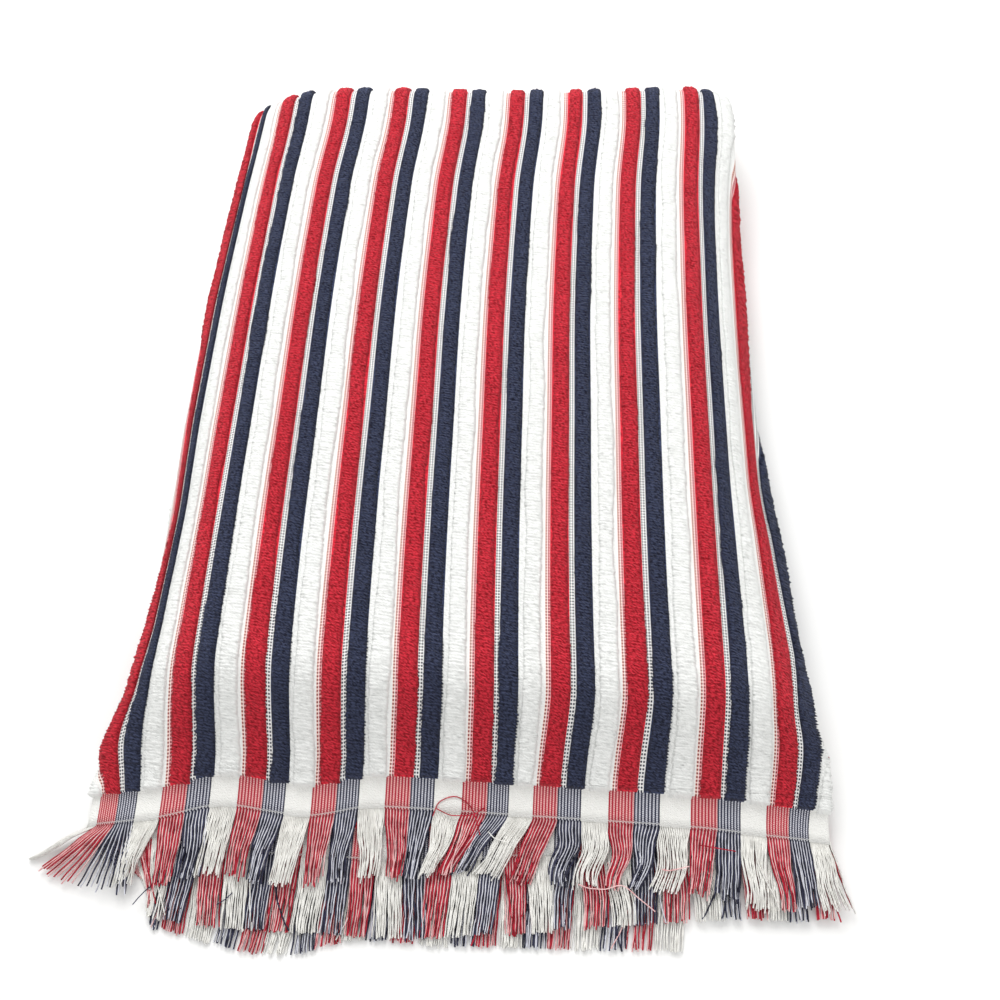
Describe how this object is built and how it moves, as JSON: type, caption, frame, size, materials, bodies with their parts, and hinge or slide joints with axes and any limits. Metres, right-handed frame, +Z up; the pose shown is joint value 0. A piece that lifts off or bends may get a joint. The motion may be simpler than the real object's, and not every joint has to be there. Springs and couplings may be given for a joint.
{
  "type": "folded beach towel",
  "caption": "Striped terry beach towel with a fringe at each end, folded in thirds across its width and then twice along its length into a soft, flat stack",
  "frame": {"origin": "middle of the underside of the folded towel's bounding box, on the surface it rests on", "axes": "+Z up, +Y along the stripes towards the big fold, X across the stripes with +X on the right as seen from the fringed end"},
  "size_m": [0.3094, 0.4544, 0.0368],
  "materials": {
    "towel": "cotton terry pile ribs in red, navy and white on a flat woven ground, matte",
    "fringe": "loose cotton yarns in red, navy and white, matte"
  },
  "bodies": {
    "root": {"towel": "towel", "fringe_top": "fringe", "fringe_under": "fringe"}
  },
  "joints": []
}
